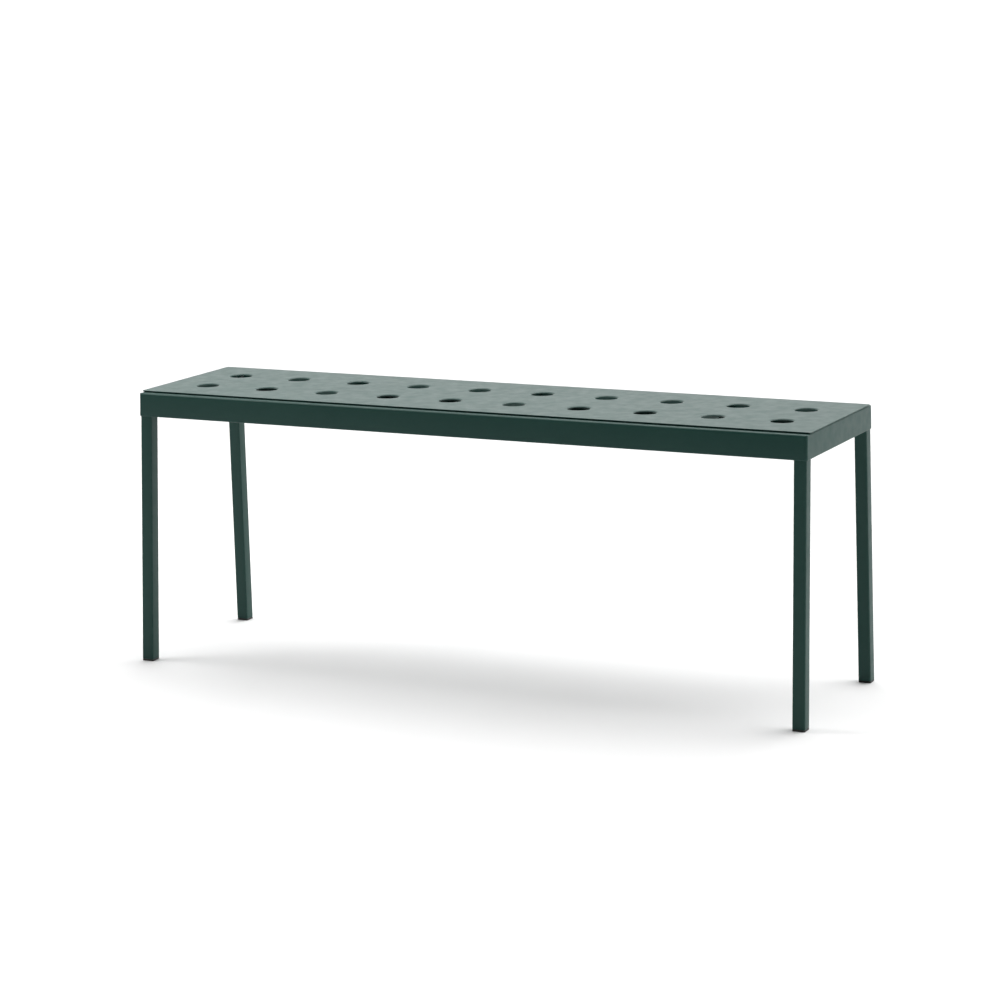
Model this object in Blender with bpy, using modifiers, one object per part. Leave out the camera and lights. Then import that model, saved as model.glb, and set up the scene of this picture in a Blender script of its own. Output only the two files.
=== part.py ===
"""Backless bench: a pierced sheet steel seat on a mitred apron frame with four splayed legs.

The origin is on the floor under the middle of the seat. +X runs along the bench, +Y towards
its back and +Z up. Lengths are in metres.

Everything in a corner of the frame is drawn in corner coordinates: u inwards along the bench
from the end rail's outer face, v inwards across it from the long rail's outer face, and h up
from the frame's bottom edge. Legs and aprons lean out together, by a fixed run for each metre
of drop, so a shear along h keeps them parallel.
"""

import math

import bmesh
import bpy
from mathutils import Matrix, Vector

# Overall sizes
SEAT_HEIGHT = 0.440
FRAME_LENGTH = 1.129  # over the apron's bottom edges
FRAME_WIDTH = 0.2934
SPLAY_ALONG = 0.0126  # lean towards the bench's ends, run for each unit of drop
SPLAY_ACROSS = 0.040  # lean towards the bench's front and back
GAP = 0.0003  # between pieces that touch
WELD_DISTANCE = 0.00001  # between points that are one point
SLICE_TOLERANCE = 0.0000001
SHARP_ANGLE = math.radians(35)

# Seat panel
PANEL_LENGTH = 1.131  # level with the end rails, a little beyond their tops
PANEL_WIDTH = 0.2686  # leaves a strip of the long rails' flanges in sight
PANEL_THICKNESS = 0.0015
PANEL_CORNER_RADIUS = 0.003
SHADOW_GAP = 0.0012  # height of the dark line under the panel's edge
HOLE_COLUMNS = 10
HOLE_PITCH = 0.1093
HOLE_ROW_SPACING = 0.1057
HOLE_RIM_RADIUS = 0.0215  # where the flat of the seat ends
HOLE_RIM_BEND = 0.008  # radius of the dish round a hole
HOLE_RIM_SLOPE = math.radians(30)  # at the hole's cut edge
HOLE_SEGMENTS = 20

# Apron rails, folded from sheet into a channel that opens inwards
FRAME_BOTTOM = 0.400
FRAME_TOP = SEAT_HEIGHT - PANEL_THICKNESS - SHADOW_GAP
RAIL_HEIGHT = FRAME_TOP - FRAME_BOTTOM
RAIL_SHEET = 0.0012
RAIL_FLANGE = 0.025
RAIL_LIP = 0.014
RAIL_TOP_BEND = 0.0025  # inner radius, on the long rails
END_TOP_BEND = 0.0005  # inner radius, on the end rails
RAIL_BOTTOM_BEND = 0.0005  # inner radius
MITRE_GAP = GAP / 2  # each rail's share

# Legs
LEG_WIDTH = 0.020  # along the bench
LEG_DEPTH = 0.020
LEG_WALL = 0.0015
LEG_CORNER_RADIUS = 0.002
LEG_TOP_CLEARANCE = 0.003
NOTCH_CLEARANCE = 0.0007
NOTCH_SKIN = 0.00002  # left on the web, so that the notch's side isn't in the web's face
FOOT_HEIGHT = 0.003
FOOT_STEM_HEIGHT = 0.015
FOOT_CHAMFER = 0.0005

# Corner brackets and their fasteners
BRACKET_SHEET = 0.0025
BRACKET_BEND = 0.001
BRACKET_EAR = 0.026
BRACKET_START = 0.005  # above the frame's bottom
BRACKET_HEIGHT = 0.024
BOLT_HEIGHTS = (0.011, 0.023)
BOLT_OFFSET = 0.001  # inwards from the middle of the leg's face, clear of the bracket's ear
BOLT_RADIUS = 0.0025
BOLT_LENGTH = 0.014
BOLT_HEAD_RADIUS = 0.00475
BOLT_HEAD_HEIGHT = 0.0028
BOLT_SOCKET_RADIUS = 0.0016
BOLT_SOCKET_DEPTH = 0.0015
BOLT_POINT = 0.0006
BOLT_CROWN_SHARE = 0.65  # of the head's radius, where its flat top ends
BOLT_RIM_SHARE = 0.3  # of the head's height, where its upright rim ends
BOLT_SEGMENTS = 12
WASHER_RADIUS = 0.005
WASHER_THICKNESS = 0.001
NUT_PLATE_THICKNESS = 0.004
NUT_PLATE_HEIGHT = 0.022

# Under the panel
SPACER_WIDTH = 0.008
SPACER_INSET = 0.0015  # from the panel's edge
CROSS_MEMBER_COLUMNS = (-3, 0, 3)  # in hole pitches from the middle
CROSS_MEMBER_WIDTH = 0.030
CROSS_MEMBER_DEPTH = 0.020
CROSS_MEMBER_SHEET = 0.0015
CROSS_MEMBER_BEND = 0.0015
CROSS_MEMBER_END_GAP = 0.002
DAMPING_WIDTH = 0.018
DAMPING_END_GAP = 0.004

HALF_LENGTH = FRAME_LENGTH / 2
HALF_WIDTH = FRAME_WIDTH / 2
LEG_U = RAIL_SHEET + GAP  # the leg's outer faces, in corner coordinates
LEG_V = RAIL_SHEET + GAP
PANEL_HALF_LENGTH = PANEL_LENGTH / 2
PANEL_HALF_WIDTH = PANEL_WIDTH / 2
PANEL_UNDERSIDE = SEAT_HEIGHT - PANEL_THICKNESS
CORNERS = {"front_left": (-1, -1), "front_right": (1, -1), "back_left": (-1, 1), "back_right": (1, 1)}


# Outlines, as lists of (x, y) points


def fillet(points, radii, steps, closed):
    """Round each corner of an outline by its own radius."""
    rounded = []
    for index, corner in enumerate(points):
        is_end = not closed and index in (0, len(points) - 1)
        if is_end or radii[index] == 0:
            rounded.append(corner)
            continue
        here = Vector(corner)
        back = (Vector(points[index - 1]) - here).normalized()
        ahead = (Vector(points[(index + 1) % len(points)]) - here).normalized()
        half = back.angle(ahead) / 2
        centre = here + (back + ahead).normalized() * radii[index] / math.sin(half)
        start = here + back * radii[index] / math.tan(half) - centre
        sweep = (math.pi - 2 * half) * math.copysign(1, -back.cross(ahead))
        for step in range(steps + 1):
            turn = Matrix.Rotation(sweep * step / steps, 2)
            rounded.append(tuple(centre + turn @ start))
    return rounded


def rounded_box(x_low, y_low, x_high, y_high, radius, steps=3):
    corners = [(x_low, y_low), (x_high, y_low), (x_high, y_high), (x_low, y_high)]
    return fillet(corners, [radius] * 4, steps, closed=True)


def circle(x, y, radius, segments):
    angles = [2 * math.pi * index / segments for index in range(segments)]
    return [(x + radius * math.cos(angle), y + radius * math.sin(angle)) for angle in angles]


def folded_sheet(path, thickness, bends, steps=3):
    """Outline of a sheet folded along path, with its thickness on the path's right-hand side."""
    points = [Vector(point) for point in path]
    sides = [(b - a).normalized() for a, b in zip(points, points[1:])]
    normals = [Vector((side.y, -side.x)) for side in sides]
    near, far = [0.0], [0.0]
    offset = [points[0] + normals[0] * thickness]
    for index in range(1, len(points) - 1):
        before, after = normals[index - 1], normals[index]
        offset.append(points[index] + (before + after) * thickness / (1 + before.dot(after)))
        turns_right = sides[index - 1].cross(sides[index]) < 0
        inner = bends[index - 1]
        near.append(inner + thickness if turns_right else inner)
        far.append(inner if turns_right else inner + thickness)
    offset.append(points[-1] + normals[-1] * thickness)
    near.append(0.0)
    far.append(0.0)
    front = fillet([tuple(point) for point in points], near, steps, closed=False)
    back = fillet([tuple(point) for point in offset], far, steps, closed=False)
    return front + back[::-1]


# Building blocks


def new_object(name, mesh, material=None, smooth=False):
    piece = bpy.data.objects.new(name, mesh)
    bench_collection.objects.link(piece)
    piece.parent = bench
    if material:
        mesh.materials.append(material)
    if smooth:
        mesh.shade_smooth()
        mesh.set_sharp_from_angle(angle=SHARP_ANGLE)
    return piece


def turn_faces_out(body):
    bmesh.ops.recalc_face_normals(body, faces=body.faces)
    if body.calc_volume(signed=True) < 0:
        bmesh.ops.reverse_faces(body, faces=body.faces)


def extruded_mesh(name, outlines, low, high):
    """Closed mesh of a flat outline, with any holes after it in the list, from z low to z high."""
    curve = bpy.data.curves.new(name, "CURVE")
    curve.dimensions = "2D"
    curve.fill_mode = "BOTH"
    curve.extrude = (high - low) / 2
    for outline in outlines:
        spline = curve.splines.new("POLY")
        spline.points.add(len(outline) - 1)
        for point, (x, y) in zip(spline.points, outline):
            point.co = (x, y, 0, 1)
        spline.use_cyclic_u = True
    guide = bpy.data.objects.new(name, curve)
    bench_collection.objects.link(guide)
    depsgraph = bpy.context.evaluated_depsgraph_get()
    mesh = bpy.data.meshes.new_from_object(guide.evaluated_get(depsgraph))
    bpy.data.objects.remove(guide)
    bpy.data.curves.remove(curve)
    body = bmesh.new()
    body.from_mesh(mesh)
    bmesh.ops.remove_doubles(body, verts=body.verts, dist=WELD_DISTANCE)
    bmesh.ops.translate(body, verts=body.verts, vec=(0, 0, (low + high) / 2))
    turn_faces_out(body)
    body.to_mesh(mesh)
    body.free()
    mesh.name = name
    return mesh


def reshape(mesh, change):
    """Move each point of a closed mesh by a rule, and keep its faces turned out."""
    body = bmesh.new()
    body.from_mesh(mesh)
    for vert in body.verts:
        vert.co = change(vert.co)
    turn_faces_out(body)
    body.to_mesh(mesh)
    body.free()


def turned_piece(name, profile, segments, material):
    """Solid of revolution about z, from (radius, z) points that run from its top to its bottom."""
    mesh = bpy.data.meshes.new(name)
    links = [(index, index + 1) for index in range(len(profile) - 1)]
    mesh.from_pydata([(radius, 0, z) for radius, z in profile], links, [])
    piece = new_object(name, mesh, material)
    screw = piece.modifiers.new("turn", "SCREW")
    screw.steps = segments
    screw.render_steps = segments
    screw.use_merge_vertices = True
    screw.merge_threshold = WELD_DISTANCE
    return piece


def cut(piece, cutters):
    for cutter in cutters:
        boolean = piece.modifiers.new("cut", "BOOLEAN")
        boolean.operation = "DIFFERENCE"
        boolean.solver = "EXACT"
        boolean.object = cutter


def as_cutter(cutter):
    """Keep a piece as a cutting shape only."""
    bench_collection.objects.unlink(cutter)
    cutter_collection.objects.link(cutter)
    cutter.hide_render = True
    cutter.display_type = "WIRE"
    return cutter


def corner_point(side_x, side_y, u, v, h):
    """World place of corner coordinates, with the lean."""
    x = side_x * (HALF_LENGTH - u - SPLAY_ALONG * h)
    y = side_y * (HALF_WIDTH - v - SPLAY_ACROSS * h)
    return Vector((x, y, FRAME_BOTTOM + h))


def corner_object(name, mesh, side_x, side_y, material=None):
    """Object at a corner of the frame, from a mesh drawn in u, v and h."""
    origin = corner_point(side_x, side_y, 0, 0, 0)
    reshape(mesh, lambda co: corner_point(side_x, side_y, co.x, co.y, co.z) - origin)
    piece = new_object(name, mesh, material)
    piece.location = origin
    return piece


def powder_coat():
    return make_material("green_powder_coat", (0.030, 0.058, 0.048), 0.45, 0.0)


def make_material(name, colour, roughness, metallic):
    material = bpy.data.materials.new(name)
    material.use_nodes = True
    shader = material.node_tree.nodes["Principled BSDF"]
    shader.inputs["Base Color"].default_value = (*colour, 1)
    shader.inputs["Roughness"].default_value = roughness
    shader.inputs["Metallic"].default_value = metallic
    return material


# Seat


def hole_centres():
    for column in range(HOLE_COLUMNS):
        x = (column - (HOLE_COLUMNS - 1) / 2) * HOLE_PITCH
        for row in (-0.5, 0.5):
            yield Vector((x, row * HOLE_ROW_SPACING, 0))


def turn_down_rim(body, centre):
    """Dish the sheet down towards a hole's cut edge."""
    steps = []
    for slope in (HOLE_RIM_SLOPE / 2, HOLE_RIM_SLOPE):
        radius = HOLE_RIM_RADIUS - HOLE_RIM_BEND * math.sin(slope)
        steps.append((radius, HOLE_RIM_BEND * (math.cos(slope) - 1)))
    reach = HOLE_RIM_RADIUS + WELD_DISTANCE
    edges = [edge for edge in body.edges if edge.is_boundary]
    edges = [edge for edge in edges if all((vert.co - centre).length < reach for vert in edge.verts)]
    for radius, height in steps:
        ring = bmesh.ops.extrude_edge_only(body, edges=edges)["geom"]
        edges = [item for item in ring if isinstance(item, bmesh.types.BMEdge) and item.is_boundary]
        for vert in {vert for edge in edges for vert in edge.verts}:
            outwards = Vector((vert.co.x - centre.x, vert.co.y - centre.y, 0)).normalized()
            vert.co = centre + outwards * radius + Vector((0, 0, height))


def seat_panel(material):
    """Sheet drawn at its top face, made solid downwards."""
    corners = (-PANEL_HALF_LENGTH, -PANEL_HALF_WIDTH, PANEL_HALF_LENGTH, PANEL_HALF_WIDTH)
    outlines = [rounded_box(*corners, PANEL_CORNER_RADIUS)]
    for centre in hole_centres():
        outlines.append(circle(centre.x, centre.y, HOLE_RIM_RADIUS, HOLE_SEGMENTS))
    mesh = extruded_mesh("seat_panel", outlines, 0, 0)
    body = bmesh.new()
    body.from_mesh(mesh)
    for face in body.faces:
        if face.normal.z < 0:
            face.normal_flip()
    for centre in hole_centres():
        turn_down_rim(body, centre)
    bmesh.ops.recalc_face_normals(body, faces=body.faces)
    if sum(face.normal.z * face.calc_area() for face in body.faces) < 0:
        bmesh.ops.reverse_faces(body, faces=body.faces)
    body.to_mesh(mesh)
    body.free()
    panel = new_object("seat_panel", mesh, material, smooth=True)
    panel.location.z = SEAT_HEIGHT
    sheet = panel.modifiers.new("sheet", "SOLIDIFY")
    sheet.thickness = PANEL_THICKNESS
    sheet.offset = -1
    sheet.use_even_offset = True


# Apron frame


def rail_section(top_bend):
    path = [(RAIL_LIP, 0), (0, 0), (0, RAIL_HEIGHT), (RAIL_FLANGE, RAIL_HEIGHT)]
    return folded_sheet(path, RAIL_SHEET, (RAIL_BOTTOM_BEND, top_bend), steps=4)


def mitre(body, side_x, side_y, keep_axis, origin):
    """Cut a rail's end along the plane through the frame's corner and its diagonal."""
    corner_line = corner_point(side_x, side_y, 0, 0, 1) - corner_point(side_x, side_y, 0, 0, 0)
    normal = corner_line.cross(Vector((side_x, side_y, 0))).normalized()
    if normal[keep_axis] * (side_x, side_y)[keep_axis] < 0:
        normal.negate()
    point = corner_point(side_x, side_y, 0, 0, 0) - origin - normal * MITRE_GAP
    geometry = body.verts[:] + body.edges[:] + body.faces[:]
    sliced = bmesh.ops.bisect_plane(
        body, geom=geometry, plane_co=point, plane_no=normal, clear_outer=True, dist=SLICE_TOLERANCE
    )
    rim = [item for item in sliced["geom_cut"] if isinstance(item, bmesh.types.BMEdge)]
    bmesh.ops.holes_fill(body, edges=rim, sides=0)


def rail(name, side, is_long, material, notches):
    """Channel along one side of the frame, mitred at both ends and notched for the legs."""
    reach = HALF_LENGTH if is_long else HALF_WIDTH
    section = rail_section(RAIL_TOP_BEND if is_long else END_TOP_BEND)
    mesh = extruded_mesh(name, [section], -reach - RAIL_FLANGE, reach + RAIL_FLANGE)
    lean = SPLAY_ACROSS if is_long else SPLAY_ALONG

    def stand_up(co):
        inwards, height, along = co.x, co.y, co.z
        outwards = -side * (inwards + lean * height)
        return Vector((along, outwards, height)) if is_long else Vector((outwards, along, height))

    reshape(mesh, stand_up)
    outer_face = (0, side * HALF_WIDTH) if is_long else (side * HALF_LENGTH, 0)
    origin = Vector((*outer_face, FRAME_BOTTOM))
    body = bmesh.new()
    body.from_mesh(mesh)
    for end in (-1, 1):
        sides = (end, side) if is_long else (side, end)
        mitre(body, *sides, keep_axis=0 if is_long else 1, origin=origin)
    turn_faces_out(body)
    body.to_mesh(mesh)
    body.free()
    piece = new_object(name, mesh, material, smooth=True)
    piece.location = origin
    cut(piece, notches)


def leg_notch(corner, side_x, side_y):
    """Cutter for the bottom lips where a leg passes between them."""
    u_high = LEG_U + LEG_WIDTH + NOTCH_CLEARANCE
    v_high = LEG_V + LEG_DEPTH + NOTCH_CLEARANCE
    low = RAIL_SHEET + NOTCH_SKIN
    outline = [(low, low), (u_high, low), (u_high, v_high), (low, v_high)]
    top = RAIL_SHEET + 2 * RAIL_BOTTOM_BEND
    mesh = extruded_mesh("notch_" + corner, [outline], -RAIL_SHEET, top)
    return as_cutter(corner_object("notch_" + corner, mesh, side_x, side_y))


def panel_spacer(name, side, is_long, material):
    """Flat strip on a rail's flange that holds the panel off it."""
    x_edge = PANEL_HALF_LENGTH - SPACER_INSET
    y_edge = PANEL_HALF_WIDTH - SPACER_INSET
    if is_long:
        box = (-x_edge, y_edge - SPACER_WIDTH, x_edge, y_edge)
    else:
        y_end = y_edge - SPACER_WIDTH - GAP
        box = (x_edge - SPACER_WIDTH, -y_end, x_edge, y_end)
    mesh = extruded_mesh(name, [rounded_box(*box, radius=0)], GAP, SHADOW_GAP - GAP)
    flip = Vector((1, side, 1)) if is_long else Vector((side, 1, 1))
    reshape(mesh, lambda co: co * flip)
    piece = new_object(name, mesh, material)
    piece.location.z = FRAME_TOP


def cross_member(name, x, material):
    """Channel that opens downwards, under the flanges of the front and back rails."""
    half = CROSS_MEMBER_WIDTH / 2
    path = [(-half, -CROSS_MEMBER_DEPTH), (-half, 0), (half, 0), (half, -CROSS_MEMBER_DEPTH)]
    section = folded_sheet(path, CROSS_MEMBER_SHEET, [CROSS_MEMBER_BEND] * 2)
    web = HALF_WIDTH - SPLAY_ACROSS * RAIL_HEIGHT - RAIL_SHEET
    reach = web - CROSS_MEMBER_END_GAP
    mesh = extruded_mesh(name, [section], -reach, reach)
    piece = new_object(name, mesh, material, smooth=True)
    piece.rotation_euler.x = math.pi / 2
    piece.location = (x, 0, FRAME_TOP - RAIL_SHEET - GAP)


def damping_strip(name, x, material):
    """Rubber strip between a cross member and the panel, ending short of the flanges."""
    half = DAMPING_WIDTH / 2
    reach = HALF_WIDTH - SPLAY_ACROSS * RAIL_HEIGHT - RAIL_FLANGE - DAMPING_END_GAP
    outline = rounded_box(-half, -reach, half, reach, radius=0)
    mesh = extruded_mesh(name, [outline], FRAME_TOP - RAIL_SHEET, PANEL_UNDERSIDE - GAP)
    piece = new_object(name, mesh, material)
    piece.location.x = x


# Legs and corners


def leg_outline(inset, radius):
    u_high = LEG_U + LEG_WIDTH - inset
    v_high = LEG_V + LEG_DEPTH - inset
    return rounded_box(LEG_U + inset, LEG_V + inset, u_high, v_high, radius)


def leg(corner, side_x, side_y, material, cutters):
    outlines = [leg_outline(0, LEG_CORNER_RADIUS), leg_outline(LEG_WALL, LEG_CORNER_RADIUS - LEG_WALL)]
    low = FOOT_HEIGHT + GAP - FRAME_BOTTOM
    high = RAIL_HEIGHT - RAIL_SHEET - LEG_TOP_CLEARANCE
    name = "leg_" + corner
    piece = corner_object(name, extruded_mesh(name, outlines, low, high), side_x, side_y, material)
    piece.data.shade_smooth()
    piece.data.set_sharp_from_angle(angle=SHARP_ANGLE)
    cut(piece, cutters)


def foot_plug(corner, side_x, side_y, material):
    """Cap under the tube, with a stem up inside it."""
    name = "foot_plug_" + corner
    mesh = bpy.data.meshes.new(name)
    body = bmesh.new()
    outline = leg_outline(0, LEG_CORNER_RADIUS)
    sole = body.faces.new([body.verts.new((u, v, -FRAME_BOTTOM)) for u, v in outline])
    bottom_edges = sole.edges[:]
    top = extrude_up(body, sole, FOOT_HEIGHT)
    bmesh.ops.inset_individual(body, faces=[top], thickness=LEG_WALL + GAP, use_even_offset=True)
    extrude_up(body, top, FOOT_STEM_HEIGHT)
    sole_again = body.faces.new(ring_verts(bottom_edges))
    turn_faces_out(body)
    bmesh.ops.bevel(body, geom=sole_again.edges[:], offset=FOOT_CHAMFER, segments=1, affect="EDGES")
    body.to_mesh(mesh)
    body.free()
    corner_object(name, mesh, side_x, side_y, material)


def ring_verts(edges):
    """The points of a closed ring of edges, in order round the ring."""
    ring = [edges[0].verts[0], edges[0].verts[1]]
    left = set(edges[1:])
    while left:
        edge = next(edge for edge in left if ring[-1] in edge.verts)
        left.remove(edge)
        ring.append(edge.other_vert(ring[-1]))
    return ring[:-1]


def extrude_up(body, face, height):
    """Raise a face on walls of its own, and return the raised face."""
    raised = bmesh.ops.extrude_discrete_faces(body, faces=[face])["faces"][0]
    bmesh.ops.translate(body, verts=raised.verts, vec=(0, 0, height))
    return raised


def leg_bracket(corner, side_x, side_y, material, cutters):
    """Plate folded round the leg's two inner faces, with an ear on each rail's web."""
    u_leg = LEG_U + LEG_WIDTH + GAP
    v_leg = LEG_V + LEG_DEPTH + GAP
    path = [
        (u_leg + BRACKET_EAR, LEG_V),
        (u_leg, LEG_V),
        (u_leg, v_leg),
        (LEG_U, v_leg),
        (LEG_U, v_leg + BRACKET_EAR),
    ]
    outline = folded_sheet(path, BRACKET_SHEET, [BRACKET_BEND] * 3)
    name = "leg_bracket_" + corner
    mesh = extruded_mesh(name, [outline], BRACKET_START, BRACKET_START + BRACKET_HEIGHT)
    cut(corner_object(name, mesh, side_x, side_y, material), cutters)


def nut_plate(corner, side_x, side_y, material, cutters):
    """Threaded bar against the inside of the leg's inner face."""
    u_high = LEG_U + LEG_WIDTH - LEG_WALL - GAP
    v_low = LEG_V + LEG_WALL + GAP
    v_high = LEG_V + LEG_DEPTH - LEG_WALL - GAP
    outline = rounded_box(u_high - NUT_PLATE_THICKNESS, v_low, u_high, v_high, radius=0)
    low = sum(BOLT_HEIGHTS) / 2 - NUT_PLATE_HEIGHT / 2
    name = "nut_plate_" + corner
    mesh = extruded_mesh(name, [outline], low, low + NUT_PLATE_HEIGHT)
    cut(corner_object(name, mesh, side_x, side_y, material), cutters)


def bolt_seat(side_x, side_y, height):
    """Where a washer's inner face lies on a bolt's axis."""
    u = LEG_U + LEG_WIDTH + GAP + BRACKET_SHEET + GAP
    return corner_point(side_x, side_y, u, LEG_V + LEG_DEPTH / 2 + BOLT_OFFSET, height)


def bolt_hole(name, side_x, side_y, height):
    """Cutter along a bolt's axis, from outside the bracket into the tube."""
    outline = circle(0, 0, BOLT_RADIUS + GAP, BOLT_SEGMENTS)
    mesh = extruded_mesh(name, [outline], -BOLT_LENGTH, BOLT_SOCKET_DEPTH)
    cutter = new_object(name, mesh)
    cutter.rotation_euler.y = -side_x * math.pi / 2
    cutter.location = bolt_seat(side_x, side_y, height)
    return as_cutter(cutter)


def leg_washer(name, side_x, side_y, height, material):
    rings = [circle(0, 0, radius, BOLT_SEGMENTS) for radius in (WASHER_RADIUS, BOLT_RADIUS + GAP)]
    piece = new_object(name, extruded_mesh(name, rings, 0, WASHER_THICKNESS), material)
    piece.rotation_euler.y = -side_x * math.pi / 2
    piece.location = bolt_seat(side_x, side_y, height)


def leg_bolt(name, side_x, side_y, height, material):
    """Button-head screw: z points from its shank to its head, and its bearing face is at z 0."""
    socket_floor = BOLT_HEAD_HEIGHT - BOLT_SOCKET_DEPTH
    profile = [
        (0, socket_floor),
        (BOLT_SOCKET_RADIUS, socket_floor),
        (BOLT_SOCKET_RADIUS, BOLT_HEAD_HEIGHT),
        (BOLT_HEAD_RADIUS * BOLT_CROWN_SHARE, BOLT_HEAD_HEIGHT),
        (BOLT_HEAD_RADIUS, BOLT_HEAD_HEIGHT * BOLT_RIM_SHARE),
        (BOLT_HEAD_RADIUS, 0),
        (BOLT_RADIUS, 0),
        (BOLT_RADIUS, BOLT_POINT - BOLT_LENGTH),
        (BOLT_RADIUS - BOLT_POINT, -BOLT_LENGTH),
        (0, -BOLT_LENGTH),
    ]
    piece = turned_piece(name, profile, BOLT_SEGMENTS, material)
    piece.rotation_euler.y = -side_x * math.pi / 2
    inwards = Vector((-side_x * (WASHER_THICKNESS + GAP), 0, 0))
    piece.location = bolt_seat(side_x, side_y, height) + inwards


def build_corner(corner, side_x, side_y, steel, zinc, plastic):
    levels = dict(zip(("lower", "upper"), BOLT_HEIGHTS))
    holes = [bolt_hole(f"hole_{corner}_{level}", side_x, side_y, levels[level]) for level in levels]
    leg(corner, side_x, side_y, steel, holes)
    leg_bracket(corner, side_x, side_y, steel, holes)
    nut_plate(corner, side_x, side_y, zinc, holes)
    foot_plug(corner, side_x, side_y, plastic)
    for level, height in levels.items():
        leg_washer(f"leg_washer_{corner}_{level}", side_x, side_y, height, zinc)
        leg_bolt(f"leg_bolt_{corner}_{level}", side_x, side_y, height, zinc)


def build():
    steel = powder_coat()
    zinc = make_material("zinc_plated_steel", (0.52, 0.53, 0.54), 0.35, 1.0)
    plastic = make_material("black_plastic", (0.012, 0.012, 0.012), 0.55, 0.0)
    rubber = make_material("grey_rubber", (0.035, 0.035, 0.035), 0.85, 0.0)
    seat_panel(steel)
    notches = {corner: leg_notch(corner, *sides) for corner, sides in CORNERS.items()}
    sides = (("front", -1, True), ("back", 1, True), ("left_end", -1, False), ("right_end", 1, False))
    for place, side, is_long in sides:
        axis = 1 if is_long else 0
        near = [notches[corner] for corner in CORNERS if CORNERS[corner][axis] == side]
        rail(place + "_rail", side, is_long, steel, near)
        panel_spacer("panel_spacer_" + place, side, is_long, steel)
    for place, column in zip(("left", "middle", "right"), CROSS_MEMBER_COLUMNS):
        cross_member("cross_member_" + place, column * HOLE_PITCH, steel)
        damping_strip("damping_strip_" + place, column * HOLE_PITCH, rubber)
    for corner, sides in CORNERS.items():
        build_corner(corner, *sides, steel, zinc, plastic)


for old in list(bpy.data.objects):
    bpy.data.objects.remove(old)
bench_collection = bpy.data.collections.new("backless_bench")
cutter_collection = bpy.data.collections.new("cutters")
bpy.context.scene.collection.children.link(bench_collection)
bpy.context.scene.collection.children.link(cutter_collection)
bench = bpy.data.objects.new("bench", None)
bench_collection.objects.link(bench)
build()
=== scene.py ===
"""Looks of the backless bench: a pierced steel seat on an apron frame with four splayed tube legs.

The frame below gives the places of the pieces. Lengths are in metres, +X runs along the bench,
+Y towards its back and +Z up, with the floor at z = 0. Everything in a corner of the frame is
drawn in corner coordinates, as in the CAD model: u inwards along the bench and v inwards across
it from the rails' outer faces, and h up from the frame's bottom edge.
"""

import math

import bmesh
import bpy
from mathutils import Matrix, Vector


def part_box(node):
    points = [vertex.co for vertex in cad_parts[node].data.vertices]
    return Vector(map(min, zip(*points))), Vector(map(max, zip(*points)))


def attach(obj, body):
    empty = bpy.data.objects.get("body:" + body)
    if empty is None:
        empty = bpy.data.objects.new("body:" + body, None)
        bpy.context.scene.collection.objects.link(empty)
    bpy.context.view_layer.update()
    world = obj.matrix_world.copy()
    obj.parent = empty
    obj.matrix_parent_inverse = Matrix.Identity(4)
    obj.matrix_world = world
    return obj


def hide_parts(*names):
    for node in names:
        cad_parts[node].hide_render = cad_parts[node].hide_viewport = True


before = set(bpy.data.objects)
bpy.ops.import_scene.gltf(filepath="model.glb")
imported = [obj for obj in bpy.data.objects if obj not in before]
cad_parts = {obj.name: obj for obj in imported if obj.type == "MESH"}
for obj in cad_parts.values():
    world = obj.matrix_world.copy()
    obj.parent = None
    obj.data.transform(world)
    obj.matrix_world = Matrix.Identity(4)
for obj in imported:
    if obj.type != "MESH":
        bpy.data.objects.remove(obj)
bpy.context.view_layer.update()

# Sheet and tube, as in the CAD model
RAIL_SHEET = 0.0012
RAIL_FLANGE = 0.025
RAIL_LIP = 0.014
RAIL_TOP_BEND = 0.0025  # inner radius, on the long rails
END_TOP_BEND = 0.0005  # inner radius, on the end rails
RAIL_BOTTOM_BEND = 0.0005  # inner radius
LEG_INSET = 0.0015  # from the rails' outer faces
LEG_WIDTH = 0.020  # along the bench
LEG_DEPTH = 0.020
LEG_WALL = 0.0015
LEG_CORNER_RADIUS = 0.002
CONTACT_GAP = 0.0003  # between pieces that touch

# Seat
PANEL_SHEET = 0.0015
HOLE_COLUMNS = 10
HOLE_ROW_SPACING = 0.1057
HOLE_RIM_RADIUS = 0.0215  # where the flat of the seat ends
HOLE_RIM_BEND = 0.008  # radius of the dish round a hole
HOLE_RIM_SLOPE = 30  # degrees, at the sheet's cut edge
PANEL_CORNER_RADIUS = 0.003
PANEL_EDGE_RADIUS = 0.0005
MEMBER_SHEET = 0.0015  # cross members under the seat
MEMBER_BEND = 0.0015  # inner radius
MEMBER_WIDTH = 0.030
MEMBER_PITCHES = 3  # hole pitches from the middle of the bench to an outer cross member

# Feet
FOOT_FIN = 0.0006  # how far a fin stands out from the stem
FOOT_STEM_TOP = 0.018
FOOT_FIN_HEIGHTS = (0.007, 0.011, 0.015)  # upper edges of the fins
FOOT_SOLE = (  # (inset, height) from the recess out and up to the side of the cap
    (0.0035, 0.0006),
    (0.0030, 0.0001),
    (0.0026, 0.0),
    (0.0007, 0.0),
    (0.0002, 0.0002),
    (0.0, 0.0007),
)

# Leg brackets and the hole for the leg in the apron's lips
BRACKET_SHEET = 0.0025
BRACKET_EAR = 0.026
BRACKET_BEND = 0.001  # inner radius
NOTCH_CLEARANCE = 0.0007
NOTCH_CORNER = 0.001

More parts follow.
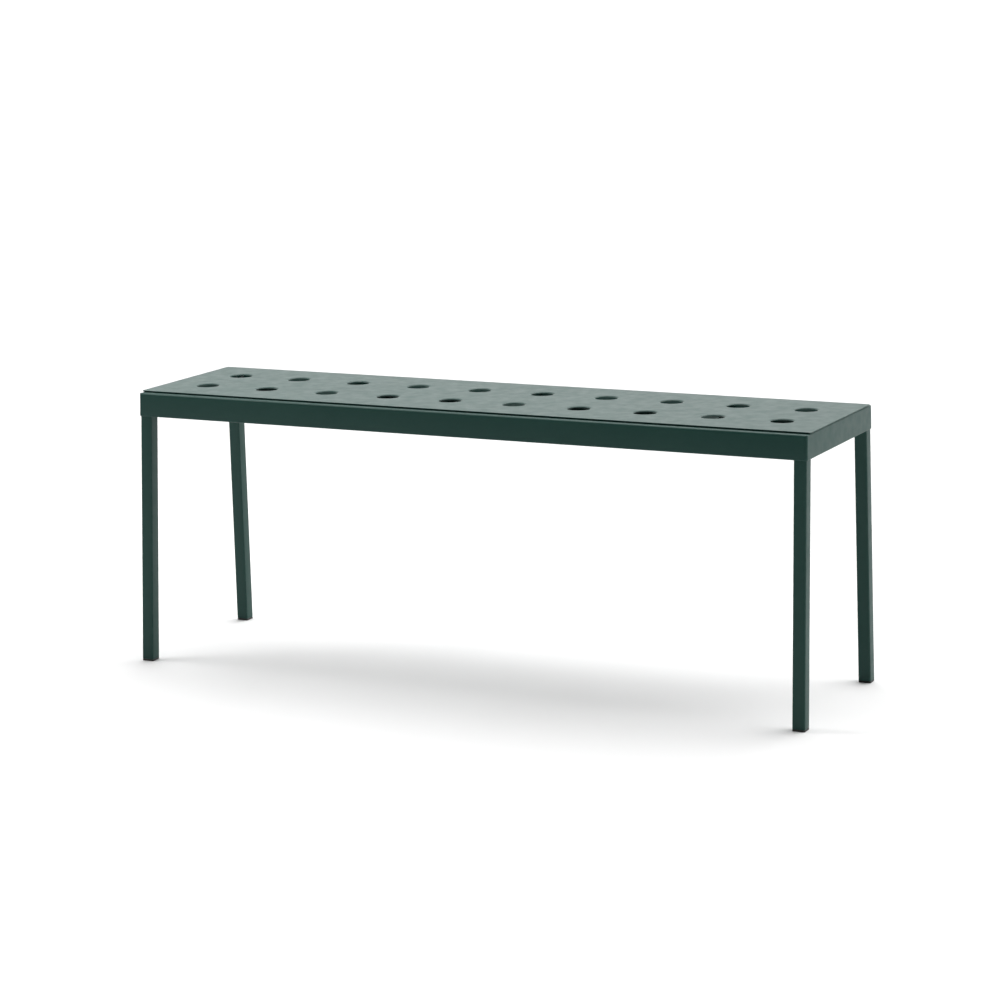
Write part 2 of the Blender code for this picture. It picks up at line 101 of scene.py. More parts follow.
# Screws and washers
BOLT_HEAD_RADIUS = 0.00475
BOLT_HEAD_RISE = 0.0028
BOLT_HEAD_RIM = 0.0009  # height where the crown starts
BOLT_CROWN_SHARE = 0.62  # share of the head's radius that is flat
BOLT_SHANK_RADIUS = 0.0025
BOLT_LENGTH = 0.014
BOLT_POINT = 0.0006
SOCKET_REACH = 0.0016  # from the middle to a flat of the hexagon
SOCKET_DEPTH = 0.0015
WASHER_HOLE_RADIUS = 0.0028
FASTENER_SOFTENING = 0.0002

# Fineness of round shapes
BEND_STEPS = 8
HOLE_SEGMENTS = 96
TURNED_SEGMENTS = 48
SHEET_EDGE_RADIUS = 0.0003
FRAME_CORNER_RADIUS = 0.003  # the apron's upright corners
SUPPORT = 0.0012  # flat band beside a rounded edge, which keeps its shading off the flat
SHARP_ANGLE = math.radians(40)
WELD_DISTANCE = 0.000002

# Studio light: directions point from the bench towards the light
BACK = (-0.2, 0.9, 0.1)
HORIZON_GLOW = 1.35
FRONT_GLOW = 0.02  # share of the back's brightness
HIGH_GLOW = 0.4  # share of the horizon's brightness
SUNS = (  # name, direction, strength, angle across in degrees
    ("back_high", (0.15, 0.55, 1.0), 4.2, 70),
    ("right", (0.9, 0.2, 0.35), 0.5, 60),
    ("back_low", (-0.6, 0.8, 0.25), 0.15, 40),
)
BOXES = (  # name, place, aim, size, power
    ("left_box", (-1.75, -0.5, 2.3), (-1.2, -0.3, 0), (0.8, 1.4), 28),
)
FLOOR_RADIUS = 60
CARD_CORNERS = ((-1.4, -3.8), (1.0, -3.8), (1.0, -1.85), (-1.4, -1.85))  # in front of the bench
CARD_HEIGHT = 0.002

# Camera: turns in radians
CAMERA_PLACE = (1.95075, -4.05942, 1.16885)
CAMERA_YAW = 0.4473
CAMERA_PITCH = 0.1957
CAMERA_ROLL = 0.0158
CAMERA_LENS = 105.118
CAMERA_SENSOR = 36
CAMERA_CLIP_END = 200

CORNERS = {  # sides along the bench and across it
    "front_left": (-1, -1),
    "front_right": (1, -1),
    "back_left": (-1, 1),
    "back_right": (1, 1),
}


def measure_frame():
    """Driving sizes of the frame, read from the CAD nodes' boxes."""
    leg_low, leg_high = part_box("leg_front_right")
    leg_height = leg_high.z - leg_low.z
    panel_low, panel_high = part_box("seat_panel")
    rail_low, rail_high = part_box("front_rail")
    return {
        "seat_top": panel_high.z,
        "panel_x": panel_high.x,
        "panel_y": panel_high.y,
        "bottom": rail_low.z,
        "top": rail_high.z,
        "half_length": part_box("right_end_rail")[1].x,
        "half_width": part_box("back_rail")[1].y,
        "lean_x": (leg_high.x - leg_low.x - LEG_WIDTH) / leg_height,
        "lean_y": (leg_high.y - leg_low.y - LEG_DEPTH) / leg_height,
        "leg_low": leg_low.z,
        "leg_high": leg_high.z,
        "hole_pitch": (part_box("cross_member_right")[1].x - MEMBER_WIDTH / 2) / MEMBER_PITCHES,
    }


SIZE = measure_frame()
RAIL_HEIGHT = SIZE["top"] - SIZE["bottom"]


# Outlines, as lists of (x, y) points


def fillet(points, radii, steps):
    """Round each corner of a closed outline by its own radius."""
    rounded = []
    for index, corner in enumerate(points):
        if radii[index] == 0:
            rounded.append(corner)
            continue
        here = Vector(corner)
        back = (Vector(points[index - 1]) - here).normalized()
        ahead = (Vector(points[(index + 1) % len(points)]) - here).normalized()
        half = back.angle(ahead) / 2
        centre = here + (back + ahead).normalized() * radii[index] / math.sin(half)
        start = here + back * radii[index] / math.tan(half) - centre
        sweep = (math.pi - 2 * half) * math.copysign(1, -back.cross(ahead))
        for step in range(steps + 1):
            rounded.append(tuple(centre + Matrix.Rotation(sweep * step / steps, 2) @ start))
    return rounded


def rounded_box(x_low, y_low, x_high, y_high, radius, steps=BEND_STEPS):
    corners = [(x_low, y_low), (x_high, y_low), (x_high, y_high), (x_low, y_high)]
    return fillet(corners, [radius] * 4, steps)


def circle(radius, segments):
    angles = [2 * math.pi * index / segments for index in range(segments)]
    return [(radius * math.cos(angle), radius * math.sin(angle)) for angle in angles]


def folded_sheet(path, thickness, bends):
    """Outline of a sheet folded along path, on the path's right-hand side, with softened ends."""
    points = [Vector(point) for point in path]
    sides = [(b - a).normalized() for a, b in zip(points, points[1:])]
    normals = [Vector((side.y, -side.x)) for side in sides]
    near, far = [SHEET_EDGE_RADIUS], [SHEET_EDGE_RADIUS]
    offset = [points[0] + normals[0] * thickness]
    for index in range(1, len(points) - 1):
        before, after = normals[index - 1], normals[index]
        offset.append(points[index] + (before + after) * thickness / (1 + before.dot(after)))
        turns_right = sides[index - 1].cross(sides[index]) < 0
        inner = bends[index - 1]
        near.append(inner + thickness if turns_right else inner)
        far.append(inner if turns_right else inner + thickness)
    offset.append(points[-1] + normals[-1] * thickness)
    near.append(SHEET_EDGE_RADIUS)
    far.append(SHEET_EDGE_RADIUS)
    outline = [tuple(point) for point in points] + [tuple(point) for point in reversed(offset)]
    return fillet(outline, near + far[::-1], BEND_STEPS)


def arc(centre, radius, start, end, steps=BEND_STEPS):
    """Points along an arc between two angles in degrees."""
    angles = [math.radians(start + (end - start) * step / steps) for step in range(steps + 1)]
    return [(centre[0] + radius * math.cos(a), centre[1] + radius * math.sin(a)) for a in angles]


# Meshes


def add_band(body, rings, looped=False):
    """Faces between closed rings of points, each with as many points as the next."""
    rows = [[body.verts.new(point) for point in ring] for ring in rings]
    pairs = list(zip(rows, rows[1:]))
    if looped:
        pairs.append((rows[-1], rows[0]))
    for low, high in pairs:
        for index in range(len(low)):
            beside = (index + 1) % len(low)
            body.faces.new((low[index], low[beside], high[beside], high[index]))
    return rows


def loft(name, rings, looped=False):
    """Closed skin over rings: capped at both ends, or joined from the last ring to the first."""
    body = bmesh.new()
    rows = add_band(body, rings, looped)
    if not looped:
        body.faces.new(rows[0])
        body.faces.new(rows[-1])
    return finish_mesh(name, body)


def finish_mesh(name, body):
    bmesh.ops.remove_doubles(body, verts=body.verts, dist=WELD_DISTANCE)
    bmesh.ops.dissolve_degenerate(body, edges=body.edges, dist=WELD_DISTANCE)
    bmesh.ops.recalc_face_normals(body, faces=body.faces)
    mesh = bpy.data.meshes.new(name)
    body.to_mesh(mesh)
    body.free()
    return mesh


def mark_worn_edges(mesh):
    """Store how sharply each point's surface bends outwards, from 0 on flats to 1 on sheet edges."""
    softest, sharpest = 120, 1500  # bends for each metre
    body = bmesh.new()
    body.from_mesh(mesh)
    worn = [0.0] * len(body.verts)
    for edge in body.edges:
        if len(edge.link_faces) != 2:
            continue
        one, two = edge.link_faces
        apart = (one.calc_center_median() - two.calc_center_median()).length
        bend = edge.calc_face_angle_signed(0) / max(apart, WELD_DISTANCE)
        share = min(1, max(0, (bend - softest) / (sharpest - softest)))
        for vert in edge.verts:
            worn[vert.index] = max(worn[vert.index], share)
    body.free()
    attribute = mesh.attributes.new("worn", "FLOAT", "POINT")
    attribute.data.foreach_set("value", worn)


def add_piece(name, mesh, material, replaced, bevel=0):
    """Show a mesh in place of a CAD node, with its edges softened."""
    piece = bpy.data.objects.new(name, mesh)
    bpy.context.scene.collection.objects.link(piece)
    if bevel:
        soften = piece.modifiers.new("soften", "BEVEL")
        soften.width = bevel
        soften.segments = 2
        soften.limit_method = "ANGLE"
        soften.angle_limit = SHARP_ANGLE
    apply_modifiers(piece)
    piece.data.shade_smooth()
    piece.data.set_sharp_from_angle(angle=SHARP_ANGLE)
    mark_worn_edges(piece.data)
    piece.data.materials.clear()
    piece.data.materials.append(material)
    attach(piece, "root")
    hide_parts(replaced)
    return piece


def apply_modifiers(piece):
    if not piece.modifiers:
        return
    depsgraph = bpy.context.evaluated_depsgraph_get()
    applied = bpy.data.meshes.new_from_object(piece.evaluated_get(depsgraph))
    piece.modifiers.clear()
    piece.data = applied


# Materials


class Nodes:
    """A short way to add shader nodes to a material and link them."""

    def __init__(self, name):
        self.material = bpy.data.materials.new(name)
        self.material.use_nodes = True
        self.tree = self.material.node_tree
        self.shader = self.tree.nodes["Principled BSDF"]
        self.place = self.add("ShaderNodeTexCoord").outputs["Object"]

    def add(self, kind, **settings):
        node = self.tree.nodes.new(kind)
        for key, value in settings.items():
            setattr(node, key, value)
        return node

    def feed(self, node, **inputs):
        for key, value in inputs.items():
            socket = node.inputs[key.replace("_", " ")]
            if isinstance(value, bpy.types.NodeSocket):
                self.tree.links.new(value, socket)
            else:
                socket.default_value = value
        return node

    def noise(self, scale, detail=2.0, roughness=0.5):
        node = self.feed(self.add("ShaderNodeTexNoise"), Vector=self.place, Scale=scale)
        return self.feed(node, Detail=detail, Roughness=roughness).outputs["Fac"]

    def spread(self, value, low, high, to_low=0.0, to_high=1.0):
        node = self.feed(self.add("ShaderNodeMapRange"), Value=value, From_Min=low, From_Max=high)
        return self.feed(node, To_Min=to_low, To_Max=to_high).outputs["Result"]

    def math(self, operation, one, two):
        node = self.add("ShaderNodeMath", operation=operation)
        for socket, value in zip(node.inputs, (one, two)):
            if isinstance(value, bpy.types.NodeSocket):
                self.tree.links.new(value, socket)
            else:
                socket.default_value = value
        return node.outputs["Value"]

    def mix(self, share, one, two):
        node = self.add("ShaderNodeMix", data_type="RGBA")
        sockets = [node.inputs["Factor"], node.inputs[6], node.inputs[7]]
        for socket, value in zip(sockets, (share, one, two)):
            if isinstance(value, bpy.types.NodeSocket):
                self.tree.links.new(value, socket)
            else:
                socket.default_value = value if isinstance(value, float) else (*value, 1)
        return node.outputs[2]

    def bump(self, height, distance, strength=1.0, under=None):
        node = self.feed(self.add("ShaderNodeBump"), Height=height, Distance=distance)
        self.feed(node, Strength=strength)
        if under:
            self.tree.links.new(under, node.inputs["Normal"])
        return node.outputs["Normal"]


def powder_coat():
    """Dark green satin powder coat: orange peel, faint mottling, and rubbed edges."""
    nodes = Nodes("green_powder_coat_fine")
    worn = nodes.add("ShaderNodeAttribute", attribute_name="worn").outputs["Fac"]
    patchy = nodes.spread(nodes.noise(180, 4, 0.6), 0.42, 0.62)
    rubbed = nodes.math("MULTIPLY", worn, patchy)
    cloud = nodes.noise(5, 3)
    shade = nodes.spread(cloud, 0.3, 0.7)
    base = nodes.mix(shade, (0.0085, 0.0430, 0.0350), (0.0115, 0.0490, 0.0400))
    speckle = nodes.spread(nodes.noise(1400, 2), 0.45, 0.75, 0.0, 0.25)
    speckled = nodes.mix(speckle, base, (0.024, 0.070, 0.058))
    colour = nodes.mix(nodes.math("MULTIPLY", rubbed, 0.5), speckled, (0.055, 0.100, 0.088))
    peel = nodes.noise(420, 2, 0.45)
    grain = nodes.noise(1500, 2, 0.6)
    wave = nodes.bump(peel, 0.00006)
    normal = nodes.bump(grain, 0.00001, under=wave)
    rough = nodes.spread(nodes.noise(60, 3), 0.3, 0.7, 0.38, 0.46)
    rough = nodes.math("SUBTRACT", rough, nodes.math("MULTIPLY", rubbed, 0.08))
    nodes.feed(nodes.shader, Base_Color=colour, Roughness=rough, Normal=normal, IOR=1.3)
    return nodes.material


def zinc_plating():
    """Bright zinc on fasteners, with faint swirls of differing brightness."""
    nodes = Nodes("zinc_plating_fine")
    swirl = nodes.noise(700, 4, 0.65)
    colour = nodes.mix(nodes.spread(swirl, 0.35, 0.65), (0.42, 0.43, 0.45), (0.58, 0.585, 0.59))
    rough = nodes.spread(nodes.noise(1600, 2), 0.3, 0.7, 0.26, 0.42)
    normal = nodes.bump(nodes.noise(2500, 2), 0.000006)
    nodes.feed(nodes.shader, Base_Color=colour, Roughness=rough, Normal=normal, Metallic=1.0)
    return nodes.material


def moulded_plastic():
    """Black plastic of the feet: a fine mould grain, scuffed lighter on its edges."""
    nodes = Nodes("black_plastic_fine")
    worn = nodes.add("ShaderNodeAttribute", attribute_name="worn").outputs["Fac"]
    scuffed = nodes.math("MULTIPLY", worn, nodes.spread(nodes.noise(500, 4), 0.4, 0.65, 0.0, 0.6))
    colour = nodes.mix(scuffed, (0.010, 0.0105, 0.0105), (0.045, 0.045, 0.043))
    rough = nodes.spread(nodes.noise(900, 3), 0.3, 0.7, 0.48, 0.62)
    normal = nodes.bump(nodes.noise(2600, 2), 0.00003)
    nodes.feed(nodes.shader, Base_Color=colour, Roughness=rough, Normal=normal)
    return nodes.material


def rubber():
    """Dull grey damping rubber with a chalky bloom."""
    nodes = Nodes("damping_rubber_fine")
    bloom = nodes.spread(nodes.noise(90, 4, 0.6), 0.4, 0.7)
    colour = nodes.mix(bloom, (0.030, 0.030, 0.031), (0.055, 0.055, 0.054))
    rough = nodes.spread(nodes.noise(700, 2), 0.3, 0.7, 0.78, 0.92)
    normal = nodes.bump(nodes.noise(1800, 3), 0.00004)
    nodes.feed(nodes.shader, Base_Color=colour, Roughness=rough, Normal=normal)
    return nodes.material


# Seat


def hole_centres():
    for column in range(HOLE_COLUMNS):
        x = (column - (HOLE_COLUMNS - 1) / 2) * SIZE["hole_pitch"]
        for row in (-0.5, 0.5):
            yield x, row * HOLE_ROW_SPACING


def panel_outline(inset):
    x, y = SIZE["panel_x"] - inset, SIZE["panel_y"] - inset
    return rounded_box(-x, -y, x, y, PANEL_CORNER_RADIUS - inset)


def edge_profile():
    """(inset, height) points round the panel's cut edge, from its top flat to its underside."""
    radius = PANEL_EDGE_RADIUS
    over = arc((radius, -radius), radius, 90, 180)
    under = arc((radius, radius - PANEL_SHEET), radius, 180, 270)
    return [(radius + SUPPORT, 0), *over, *under, (radius + SUPPORT, -PANEL_SHEET)]


def hole_profile():
    """(radius, height) points from the top flat down a hole's dish to its cut edge and back."""
    sheet, soft = PANEL_SHEET, SHEET_EDGE_RADIUS
    centre, cut = (HOLE_RIM_RADIUS, -HOLE_RIM_BEND), 90 + HOLE_RIM_SLOPE
    softened = cut - math.degrees(soft / HOLE_RIM_BEND)
    over = arc(centre, HOLE_RIM_BEND, 90, softened)
    lip = [arc(centre, HOLE_RIM_BEND - depth, cut, cut, 1)[0] for depth in (soft, sheet - soft)]
    under = arc(centre, HOLE_RIM_BEND - sheet, softened, 90)
    return [(HOLE_RIM_RADIUS + SUPPORT, 0), *over, *lip, *under, (HOLE_RIM_RADIUS + SUPPORT, -sheet)]


def flat_face(name, outlines, height):
    """Flat mesh of an outline with the holes after it in the list cut out."""
    curve = bpy.data.curves.new(name, "CURVE")
    curve.dimensions = "2D"
    curve.fill_mode = "BOTH"
    for outline in outlines:
        spline = curve.splines.new("POLY")
        spline.points.add(len(outline) - 1)
        for point, (x, y) in zip(spline.points, outline):
            point.co = (x, y, 0, 1)
        spline.use_cyclic_u = True
    guide = bpy.data.objects.new(name, curve)
    bpy.context.scene.collection.objects.link(guide)
    depsgraph = bpy.context.evaluated_depsgraph_get()
    mesh = bpy.data.meshes.new_from_object(guide.evaluated_get(depsgraph))
    bpy.data.objects.remove(guide)
    bpy.data.curves.remove(curve)
    mesh.transform(Matrix.Translation((0, 0, height)))
    return mesh


def seat_panel(material):
    edge, rim = edge_profile(), hole_profile()
    centres = list(hole_centres())
    hole = [[(cx + x, cy + y) for x, y in circle(rim[0][0], HOLE_SEGMENTS)] for cx, cy in centres]
    body = bmesh.new()
    for height in (0, -PANEL_SHEET):
        flat = flat_face("flat", [panel_outline(edge[0][0]), *hole], height)
        body.from_mesh(flat)
        bpy.data.meshes.remove(flat)
    add_band(body, [[(x, y, height) for x, y in panel_outline(inset)] for inset, height in edge])
    for cx, cy in centres:
        rings = [(circle(radius, HOLE_SEGMENTS), height) for radius, height in rim]
        add_band(body, [[(cx + x, cy + y, height) for x, y in ring] for ring, height in rings])
    mesh = finish_mesh("seat_panel_formed", body)
    mesh.transform(Matrix.Translation((0, 0, SIZE["seat_top"])))
    add_piece("seat_panel_formed", mesh, material, "seat_panel")


# Apron frame


def corner_point(side_x, side_y, u, v, h):
    x = side_x * (SIZE["half_length"] - u - SIZE["lean_x"] * h)
    y = side_y * (SIZE["half_width"] - v - SIZE["lean_y"] * h)
    return Vector((x, y, SIZE["bottom"] + h))


def rail_section(top_bend):
    path = [(RAIL_LIP, 0), (0, 0), (0, RAIL_HEIGHT), (RAIL_FLANGE, RAIL_HEIGHT)]
    return folded_sheet(path, RAIL_SHEET, (RAIL_BOTTOM_BEND, top_bend))


def rail_ring(section, side_x, side_y, outwards, along, turn):
    """The rail's section where it runs round an upright corner of the frame."""
    ring = []
    direction = outwards * math.cos(turn) + along * math.sin(turn)
    for inwards, height in section:
        reach = max(FRAME_CORNER_RADIUS - inwards, 0)
        depth = max(FRAME_CORNER_RADIUS, inwards)
        ring.append(corner_point(side_x, side_y, depth, depth, height) + direction * reach)
    return ring


def rail(name, side, is_long, material, notches):
    """Folded channel, carried round half of each upright corner to meet the next rail."""
    section = rail_section(RAIL_TOP_BEND if is_long else END_TOP_BEND)
    turns = [math.pi / 4 * step / BEND_STEPS for step in range(BEND_STEPS, -1, -1)]
    rings = []
    for end in (-1, 1):
        side_x, side_y = (end, side) if is_long else (side, end)
        outwards = Vector((0, side, 0)) if is_long else Vector((side, 0, 0))
        along = Vector((end, 0, 0)) if is_long else Vector((0, end, 0))
        for turn in turns if end == -1 else turns[::-1]:
            rings.append(rail_ring(section, side_x, side_y, outwards, along, turn))
    mesh = loft(name + "_formed", rings)
    piece = bpy.data.objects.new(name, mesh)
    bpy.context.scene.collection.objects.link(piece)
    for notch in notches:
        boolean = piece.modifiers.new("notch", "BOOLEAN")
        boolean.operation = "DIFFERENCE"
        boolean.object = notch
    apply_modifiers(piece)
    notched = piece.data
    bpy.data.objects.remove(piece)
    add_piece(name + "_formed", notched, material, name)


def leg_notch(side_x, side_y):
    """Cutter for the bottom lips where a leg passes between them."""
    low = RAIL_SHEET + 10 * WELD_DISTANCE
    u_high = LEG_INSET + LEG_WIDTH + NOTCH_CLEARANCE
    v_high = LEG_INSET + LEG_DEPTH + NOTCH_CLEARANCE
    outline = rounded_box(low, low, u_high, v_high, NOTCH_CORNER, steps=3)
    heights = (-RAIL_SHEET, RAIL_SHEET + 2 * RAIL_BOTTOM_BEND)
    rings = [[corner_point(side_x, side_y, u, v, h) for u, v in outline] for h in heights]
    notch = bpy.data.objects.new("notch", loft("notch", rings))
    bpy.context.scene.collection.objects.link(notch)
    return notch


def cross_member(place, material):
    """Channel that opens downwards, under the flanges of the front and back rails."""
    low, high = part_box("cross_member_" + place)
    path = [(low.x, low.z), (low.x, high.z), (high.x, high.z), (high.x, low.z)]
    section = folded_sheet(path, MEMBER_SHEET, (MEMBER_BEND, MEMBER_BEND))
    rings = [[(x, y, z) for x, z in section] for y in (low.y, high.y)]
    name = "cross_member_" + place
    add_piece(name + "_formed", loft(name, rings), material, name, bevel=0.0002)


# Legs and corners


def leg_outline(inset, radius):
    high = (LEG_INSET + LEG_WIDTH - inset, LEG_INSET + LEG_DEPTH - inset)
    return rounded_box(LEG_INSET + inset, LEG_INSET + inset, *high, radius)


def corner_loft(name, corner, profile, looped=False):
    """Skin over (outline, height above the floor) pairs, leaning as the legs do."""
    side_x, side_y = CORNERS[corner]
    rings = []
    for outline, z in profile:
        rings.append([corner_point(side_x, side_y, u, v, z - SIZE["bottom"]) for u, v in outline])
    return loft(name, rings, looped)


def leg(corner, material):
    """Square tube with softened cut ends."""
    low, high, soft = SIZE["leg_low"], SIZE["leg_high"], SHEET_EDGE_RADIUS
    outer = leg_outline(0, LEG_CORNER_RADIUS)
    trimmed = leg_outline(soft, LEG_CORNER_RADIUS - soft)
    inner = leg_outline(LEG_WALL, LEG_CORNER_RADIUS - LEG_WALL)
    profile = [(inner, high), (trimmed, high), (outer, high - soft), (outer, low + soft)]
    profile += [(trimmed, low), (inner, low)]
    mesh = corner_loft("leg_" + corner, corner, profile, looped=True)
    add_piece(f"leg_{corner}_formed", mesh, material, "leg_" + corner)


def foot(corner, material):
    """Cap under the tube with a recessed sole, and a finned stem up inside the tube."""
    cap_height = SIZE["leg_low"] - CONTACT_GAP
    stem = LEG_WALL + CONTACT_GAP
    root = stem + FOOT_FIN
    rings = list(FOOT_SOLE)
    rings += [(0.0, cap_height - SHEET_EDGE_RADIUS), (SHEET_EDGE_RADIUS, cap_height)]
    rings.append((root, cap_height))
    for z in FOOT_FIN_HEIGHTS:
        rings += [(root, z - 0.0012), (stem, z - 0.0004), (stem, z), (root, z + 0.0001)]
    rings += [(root, FOOT_STEM_TOP - 0.0005), (root + FOOT_FIN, FOOT_STEM_TOP)]
    smallest = SHEET_EDGE_RADIUS
    profile = [(leg_outline(i, max(LEG_CORNER_RADIUS - i, smallest)), z) for i, z in rings]
    mesh = corner_loft("foot_plug_" + corner, corner, profile)
    add_piece(f"foot_plug_{corner}_formed", mesh, material, "foot_plug_" + corner)


def leg_bracket(corner, material):
    """Plate folded round the leg's two inner faces, with an ear on each rail's web."""
    u_leg = LEG_INSET + LEG_WIDTH + CONTACT_GAP
    v_leg = LEG_INSET + LEG_DEPTH + CONTACT_GAP
    path = [
        (u_leg + BRACKET_EAR, LEG_INSET),
        (u_leg, LEG_INSET),
        (u_leg, v_leg),
        (LEG_INSET, v_leg),
        (LEG_INSET, v_leg + BRACKET_EAR),
    ]
    outline = folded_sheet(path, BRACKET_SHEET, (BRACKET_BEND, BRACKET_BEND, BRACKET_BEND))
    low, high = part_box("leg_bracket_" + corner)
    mesh = corner_loft("leg_bracket_" + corner, corner, [(outline, low.z), (outline, high.z)])
    name = "leg_bracket_" + corner
    add_piece(name + "_formed", mesh, material, name, bevel=0.0003)


def turned(name, rings, side_x, seat, looped=False):
    """Skin over (outline, distance from the seat) pairs along an axis that is along X."""
    points = []
    for outline, distance in rings:
        points.append([seat + Vector((-side_x * distance, x, y)) for x, y in outline])
    return loft(name, points, looped)


def leg_washer(name, side_x, material):
    """Flat ring with softened outer edges."""
    low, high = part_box(name)
    centre = (low + high) / 2
    seat = Vector((low.x if side_x < 0 else high.x, centre.y, centre.z))
    outer, inner, soft = (high.z - low.z) / 2, WASHER_HOLE_RADIUS, FASTENER_SOFTENING
    thickness = high.x - low.x
    profile = [(inner, 0), (outer - soft, 0), (outer, soft), (outer, thickness - soft)]
    profile += [(outer - soft, thickness), (inner, thickness)]
    rings = [(circle(radius, TURNED_SEGMENTS), distance) for radius, distance in profile]
    mesh = turned(name, rings, side_x, seat, looped=True)
    add_piece(name + "_formed", mesh, material, name)


def hexagon(reach):
    """Hexagon with as many points as a turned ring, reach from its middle to a flat."""
    points = []
    for index in range(TURNED_SEGMENTS):
        angle = 2 * math.pi * index / TURNED_SEGMENTS
        off_flat = (angle % (math.pi / 3)) - math.pi / 6
        radius = reach / math.cos(off_flat)
        points.append((radius * math.cos(angle), radius * math.sin(angle)))
    return points


def bolt_rings():
    """(radius, distance) pairs from the crown's edge round the head and down the shank."""
    flat, rise, soft = BOLT_HEAD_RADIUS * BOLT_CROWN_SHARE, BOLT_HEAD_RISE, FASTENER_SOFTENING
    rings = [(SOCKET_REACH / math.cos(math.pi / 6) + soft, rise)]
    for step in range(1, BEND_STEPS + 1):
        turn = math.pi / 2 * step / BEND_STEPS
        radius = flat + (BOLT_HEAD_RADIUS - flat) * math.sin(turn)
        rings.append((radius, BOLT_HEAD_RIM + (rise - BOLT_HEAD_RIM) * math.cos(turn)))
    rings += [(BOLT_HEAD_RADIUS, soft), (BOLT_HEAD_RADIUS - soft, 0), (BOLT_SHANK_RADIUS, 0)]
    rings.append((BOLT_SHANK_RADIUS, BOLT_POINT - BOLT_LENGTH))
    rings.append((BOLT_SHANK_RADIUS - BOLT_POINT, -BOLT_LENGTH))
    return rings


def leg_bolt(name, washer, side_x, material):
    """Button-head screw with a hexagon socket."""
    low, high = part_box(washer)
    centre = (low + high) / 2
    seat_x = high.x + CONTACT_GAP if side_x < 0 else low.x - CONTACT_GAP
    seat = Vector((seat_x, centre.y, centre.z))
    socket = hexagon(SOCKET_REACH)
    rings = [(socket, BOLT_HEAD_RISE - SOCKET_DEPTH), (socket, BOLT_HEAD_RISE - 0.0001)]
    rings += [(circle(radius, TURNED_SEGMENTS), distance) for radius, distance in bolt_rings()]
    mesh = turned(name, rings, side_x, seat)
    add_piece(name + "_formed", mesh, material, name)


# Stage


def smooth_floor():
    """Plain pale studio floor."""
    nodes = Nodes("studio_floor")
    patches = nodes.spread(nodes.noise(0.6, 2), 0.3, 0.7)
    tone = nodes.mix(patches, (0.70, 0.70, 0.70), (0.71, 0.71, 0.71))
    nodes.feed(nodes.shader, Base_Color=tone, Roughness=0.9)
    nodes.shader.inputs["Specular IOR Level"].default_value = 0.0
    bpy.ops.mesh.primitive_circle_add(vertices=128, radius=FLOOR_RADIUS, fill_type="NGON")
    floor = bpy.context.object
    floor.name = "studio_floor"
    floor.data.materials.append(nodes.material)


def dark_card():
    """Black felt on the floor that keeps its light off the apron's front, unseen by the camera."""
    mesh = bpy.data.meshes.new("dark_card")
    mesh.from_pydata([(x, y, CARD_HEIGHT) for x, y in CARD_CORNERS], [], [(0, 1, 2, 3)])
    card = bpy.data.objects.new("dark_card", mesh)
    bpy.context.scene.collection.objects.link(card)
    dark = Nodes("black_felt")
    felt = dark.mix(dark.noise(40, 3), (0.006, 0.006, 0.006), (0.012, 0.012, 0.012))
    dark.feed(dark.shader, Base_Color=felt, Roughness=0.95)
    mesh.materials.append(dark.material)
    card.visible_camera = False


def glow(tree, place, direction, low, high, to_low, to_high):
    """Brightness of the world that changes smoothly towards a direction."""
    dot = tree.nodes.new("ShaderNodeVectorMath")
    dot.operation = "DOT_PRODUCT"
    dot.inputs[1].default_value = Vector(direction).normalized()
    spread = tree.nodes.new("ShaderNodeMapRange")
    spread.interpolation_type = "SMOOTHSTEP"
    limits = {"From Min": low, "From Max": high, "To Min": to_low, "To Max": to_high}
    for key, value in limits.items():
        spread.inputs[key].default_value = value
    tree.links.new(place.outputs["Generated"], dot.inputs[0])
    tree.links.new(dot.outputs["Value"], spread.inputs["Value"])
    return spread.outputs["Result"]


def studio_world():
    """White horizon behind the bench, dimmer overhead and nearly dark in front."""
    world = bpy.data.worlds.new("studio")
    bpy.context.scene.world = world
    world.use_nodes = True
    tree = world.node_tree
    background = tree.nodes["Background"]
    place = tree.nodes.new("ShaderNodeTexCoord")
    front_glow = FRONT_GLOW * HORIZON_GLOW
    back_is_bright = glow(tree, place, BACK, -0.75, 0.55, front_glow, HORIZON_GLOW)
    high_is_dim = glow(tree, place, (0, 0, 1), 0.05, 0.6, 1.0, HIGH_GLOW)
    product = tree.nodes.new("ShaderNodeMath")
    product.operation = "MULTIPLY"
    tree.links.new(back_is_bright, product.inputs[0])
    tree.links.new(high_is_dim, product.inputs[1])
    tree.links.new(product.outputs["Value"], background.inputs["Strength"])
    background.inputs["Color"].default_value = (1, 1, 1, 1)


def add_lamp(name, light, place, direction):
    lamp = bpy.data.objects.new(name, light)
    lamp.location = place
    lamp.rotation_mode = "QUATERNION"
    lamp.rotation_quaternion = direction.to_track_quat("Z", "Y")
    bpy.context.scene.collection.objects.link(lamp)


def studio_light():
    """The world, broad suns and a soft box high on the left."""
    studio_world()
    for name, direction, strength, angle in SUNS:
        light = bpy.data.lights.new(name, "SUN")
        light.energy = strength
        light.angle = math.radians(angle)
        add_lamp(name, light, (0, 0, 0), Vector(direction))
    for name, place, aim, size, power in BOXES:
        light = bpy.data.lights.new(name, "AREA")
        light.shape = "RECTANGLE"
        light.size, light.size_y = size
        light.energy = power
        add_lamp(name, light, place, Vector(place) - Vector(aim))
    bpy.context.scene.view_settings.view_transform = "Standard"


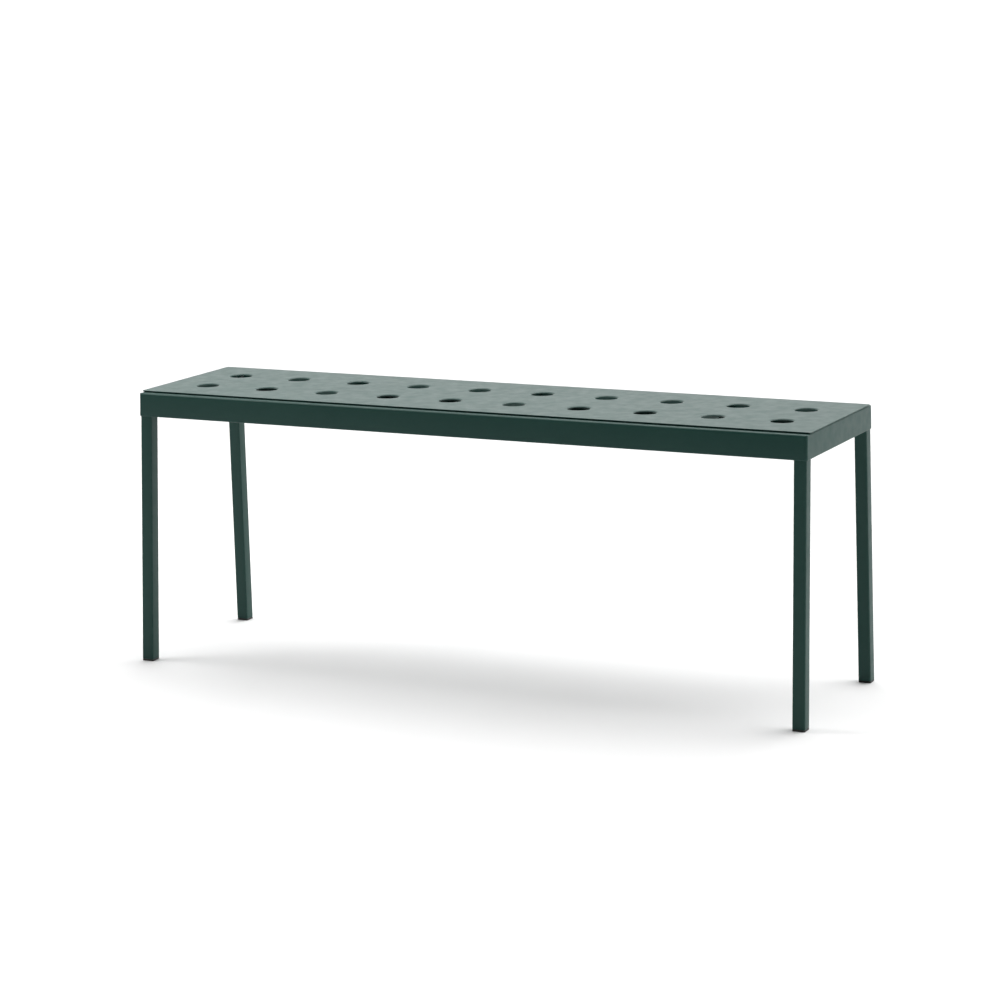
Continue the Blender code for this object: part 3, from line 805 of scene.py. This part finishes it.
def camera():
    yaw, pitch, roll = CAMERA_YAW, CAMERA_PITCH, CAMERA_ROLL
    level = Vector((-math.sin(yaw), math.cos(yaw), 0))
    forward = level * math.cos(pitch) - Vector((0, 0, math.sin(pitch)))
    right = Vector((math.cos(yaw), math.sin(yaw), 0))
    down = forward.cross(right)
    right_rolled = right * math.cos(roll) + down * math.sin(roll)
    down_rolled = down * math.cos(roll) - right * math.sin(roll)
    lens = bpy.data.cameras.new("camera")
    lens.sensor_width = CAMERA_SENSOR
    lens.lens = CAMERA_LENS
    lens.clip_end = CAMERA_CLIP_END
    view = bpy.data.objects.new("camera", lens)
    axes = Matrix((right_rolled, -down_rolled, -forward)).transposed().to_4x4()
    view.matrix_world = Matrix.Translation(Vector(CAMERA_PLACE)) @ axes
    bpy.context.scene.collection.objects.link(view)
    bpy.context.scene.camera = view


def show_kept_nodes(material_of):
    """Give the CAD nodes that are shown as they are their finish, by the start of their names."""
    for name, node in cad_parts.items():
        for start, material in material_of.items():
            if name.startswith(start):
                for slot in node.material_slots:
                    slot.material = material


def build():
    steel, zinc, plastic, damping = powder_coat(), zinc_plating(), moulded_plastic(), rubber()
    seat_panel(steel)
    notches = {corner: leg_notch(*sides) for corner, sides in CORNERS.items()}
    sides = (("front", -1, True), ("back", 1, True), ("left_end", -1, False), ("right_end", 1, False))
    for place, side, is_long in sides:
        axis = 1 if is_long else 0
        near = [notches[corner] for corner in CORNERS if CORNERS[corner][axis] == side]
        rail(place + "_rail", side, is_long, steel, near)
    for notch in notches.values():
        bpy.data.objects.remove(notch)
    for place in ("left", "middle", "right"):
        cross_member(place, steel)
    for corner, (side_x, side_y) in CORNERS.items():
        leg(corner, steel)
        foot(corner, plastic)
        leg_bracket(corner, steel)
        for level in ("lower", "upper"):
            leg_washer(f"leg_washer_{corner}_{level}", side_x, zinc)
            leg_bolt(f"leg_bolt_{corner}_{level}", f"leg_washer_{corner}_{level}", side_x, zinc)
    kept = {"panel_spacer_": steel, "damping_strip_": damping, "nut_plate_": zinc}
    show_kept_nodes(kept)
    smooth_floor()
    dark_card()
    studio_light()
    camera()


build()
